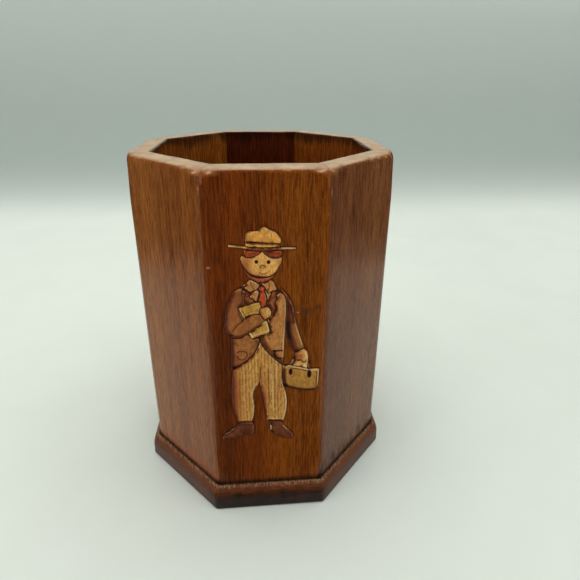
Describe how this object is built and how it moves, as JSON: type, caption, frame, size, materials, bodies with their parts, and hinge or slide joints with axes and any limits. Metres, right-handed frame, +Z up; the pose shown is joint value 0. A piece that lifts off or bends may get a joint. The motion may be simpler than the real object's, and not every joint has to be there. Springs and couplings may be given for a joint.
{
  "type": "pen holder cup",
  "caption": "Octagonal wooden pen cup of mitred staves on a moulded base, with a felt foot and a small marquetry figure of a man with a hat, book and case on its front.",
  "frame": {"origin": "centre of the underside, on the surface the cup stands on", "axes": "+Z up along the cup's axis, the face with the figure looks along -Y, +X to the right seen from that face"},
  "size_m": [0.0774, 0.0774, 0.102],
  "materials": {
    "stained_wood": "satin lacquer over reddish-brown stain",
    "floor_wood": "stained, thinly lacquered",
    "felt": "short green felt",
    "screw_steel": "zinc-yellow steel",
    "straw": "painted straw colour, satin lacquer",
    "handle": "painted near-black brown, satin lacquer",
    "hair": "painted red-brown, satin lacquer",
    "skin": "painted warm cream, satin lacquer",
    "shirt": "painted cream, satin lacquer",
    "tie": "painted brick red, satin lacquer",
    "jacket": "stained mid brown with darker sprayed edges, satin lacquer",
    "book": "painted mustard yellow, satin lacquer",
    "trousers": "pale wood with pinstripes, satin lacquer",
    "shoe": "painted dark brown, satin lacquer",
    "case": "painted olive tan, satin lacquer"
  },
  "bodies": {
    "root": {"stave_front": "stained_wood", "stave_front_right": "stained_wood", "stave_right": "stained_wood", "stave_back_right": "stained_wood", "stave_back": "stained_wood", "stave_back_left": "stained_wood", "stave_left": "stained_wood", "stave_front_left": "stained_wood", "base_plate": "stained_wood", "floor_panel": "floor_wood", "base_screw_1": "screw_steel", "base_screw_2": "screw_steel", "base_screw_3": "screw_steel", "base_screw_4": "screw_steel", "felt_pad": "felt", "hand_on_book": "skin", "sleeve_bent": "jacket", "book_top": "book", "book_bottom": "book", "hat_brim": "straw", "hat_band": "straw", "hat_crown": "straw", "hair_left": "hair", "hair_right": "hair", "face": "skin", "beard": "hair", "tie": "tie", "collar_left": "shirt", "collar_right": "shirt", "lapel_left": "jacket", "lapel_right": "jacket", "shirt_left": "shirt", "shirt_right": "shirt", "hand_with_case": "skin", "sleeve_hanging": "jacket", "jacket_right": "jacket", "jacket_left": "jacket", "briefcase": "case", "handle_left": "handle", "handle_right": "handle", "trousers": "trousers", "shoe_left": "shoe", "shoe_right": "shoe"}
  },
  "joints": []
}
